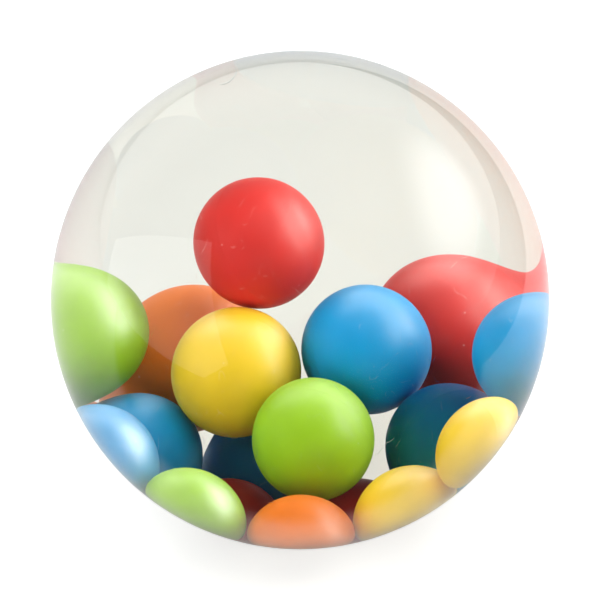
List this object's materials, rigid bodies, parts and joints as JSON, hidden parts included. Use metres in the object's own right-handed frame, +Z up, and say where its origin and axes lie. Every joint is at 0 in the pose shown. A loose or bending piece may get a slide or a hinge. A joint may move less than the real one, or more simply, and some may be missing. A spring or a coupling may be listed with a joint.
{
  "type": "clear ball with loose beads",
  "caption": "Clear hollow toddler's ball, filled with clear liquid, in which loose round coloured beads roll and tumble as the ball moves.",
  "frame": {"origin": "the ball's centre", "axes": "+Z is up with the heap of beads at the bottom; +X is to the right and -Y towards a viewer who looks at the front shell; the seam's axis leans 42 degrees above -Y"},
  "size_m": [0.046, 0.046, 0.046],
  "materials": {
    "clear_shell": "clear, polished",
    "red_bead": "satin",
    "lime_bead": "satin",
    "yellow_bead": "satin",
    "orange_bead": "satin",
    "blue_bead": "satin"
  },
  "bodies": {
    "ball_shell": {"front_shell": "clear_shell", "rear_shell": "clear_shell", "fill_plug": "clear_shell"},
    "blue_bead_1": {"blue_bead_1": "blue_bead"},
    "blue_bead_2": {"blue_bead_2": "blue_bead"},
    "blue_bead_3": {"blue_bead_3": "blue_bead"},
    "blue_bead_4": {"blue_bead_4": "blue_bead"},
    "blue_bead_5": {"blue_bead_5": "blue_bead"},
    "blue_bead_6": {"blue_bead_6": "blue_bead"},
    "lime_bead_1": {"lime_bead_1": "lime_bead"},
    "lime_bead_2": {"lime_bead_2": "lime_bead"},
    "lime_bead_3": {"lime_bead_3": "lime_bead"},
    "orange_bead_1": {"orange_bead_1": "orange_bead"},
    "orange_bead_2": {"orange_bead_2": "orange_bead"},
    "red_bead_1": {"red_bead_1": "red_bead"},
    "red_bead_2": {"red_bead_2": "red_bead"},
    "red_bead_3": {"red_bead_3": "red_bead"},
    "red_bead_4": {"red_bead_4": "red_bead"},
    "yellow_bead_1": {"yellow_bead_1": "yellow_bead"},
    "yellow_bead_2": {"yellow_bead_2": "yellow_bead"},
    "yellow_bead_3": {"yellow_bead_3": "yellow_bead"}
  },
  "joints": [
    {"name": "heap_tumble", "type": "hinge", "parent": "ball_shell", "child": "blue_bead_4", "pos_m": [0, 0, 0], "axis": [1, 0, 0], "continuous": true},
    {"name": "blue_bead_1_rise", "type": "slide", "parent": "blue_bead_4", "child": "blue_bead_1", "axis": [0, 0, 1], "range_m": [0, 0.0245]},
    {"name": "blue_bead_2_rise", "type": "slide", "parent": "blue_bead_4", "child": "blue_bead_2", "axis": [0, 0, 1], "range_m": [0, 0.0215]},
    {"name": "blue_bead_3_spin", "type": "hinge", "parent": "blue_bead_4", "child": "blue_bead_3", "pos_m": [-0.0096, 0.00221, -0.01458], "axis": [1, 0, 0], "continuous": true},
    {"name": "blue_bead_5_rise", "type": "slide", "parent": "blue_bead_4", "child": "blue_bead_5", "axis": [0, 0, 1], "range_m": [0, 0.0155]},
    {"name": "blue_bead_6_spin", "type": "hinge", "parent": "blue_bead_4", "child": "blue_bead_6", "pos_m": [0.00927, -0.0005, -0.01184], "axis": [1, 0, 0], "continuous": true},
    {"name": "lime_bead_1_rise", "type": "slide", "parent": "blue_bead_4", "child": "lime_bead_1", "axis": [0, 0, 1], "range_m": [0, 0.0265]},
    {"name": "lime_bead_2_rise", "type": "slide", "parent": "blue_bead_4", "child": "lime_bead_2", "axis": [0, 0, 1], "range_m": [0, 0.018]},
    {"name": "lime_bead_3_spin", "type": "hinge", "parent": "blue_bead_4", "child": "lime_bead_3", "pos_m": [-0.00777, -0.01001, -0.01197], "axis": [1, 0, 0], "continuous": true},
    {"name": "orange_bead_1_spin", "type": "hinge", "parent": "blue_bead_4", "child": "orange_bead_1", "pos_m": [-0.00594, 0.01, -0.01321], "axis": [1, 0, 0], "continuous": true},
    {"name": "orange_bead_2_rise", "type": "slide", "parent": "blue_bead_4", "child": "orange_bead_2", "axis": [0, 0, 1], "range_m": [0, 0.026]},
    {"name": "red_bead_1_rise", "type": "slide", "parent": "blue_bead_4", "child": "red_bead_1", "axis": [0, 0, 1], "range_m": [0, 0.0185]},
    {"name": "red_bead_2_spin", "type": "hinge", "parent": "blue_bead_4", "child": "red_bead_2", "pos_m": [0.00805, 0.01059, -0.01152], "axis": [1, 0, 0], "continuous": true},
    {"name": "red_bead_3_spin", "type": "hinge", "parent": "blue_bead_4", "child": "red_bead_3", "pos_m": [-0.00449, -0.00374, -0.0166], "axis": [1, 0, 0], "continuous": true},
    {"name": "red_bead_4_spin", "type": "hinge", "parent": "blue_bead_4", "child": "red_bead_4", "pos_m": [0.0036, -0.00327, -0.01692], "axis": [1, 0, 0], "continuous": true},
    {"name": "yellow_bead_1_spin", "type": "hinge", "parent": "blue_bead_4", "child": "yellow_bead_1", "pos_m": [-0.00391, 0.00331, -0.00893], "axis": [1, 0, 0], "continuous": true},
    {"name": "yellow_bead_2_rise", "type": "slide", "parent": "blue_bead_4", "child": "yellow_bead_2", "axis": [0, 0, 1], "range_m": [0, 0.014]},
    {"name": "yellow_bead_3_spin", "type": "hinge", "parent": "blue_bead_4", "child": "yellow_bead_3", "pos_m": [0.00762, -0.00877, -0.01253], "axis": [1, 0, 0], "continuous": true}
  ]
}
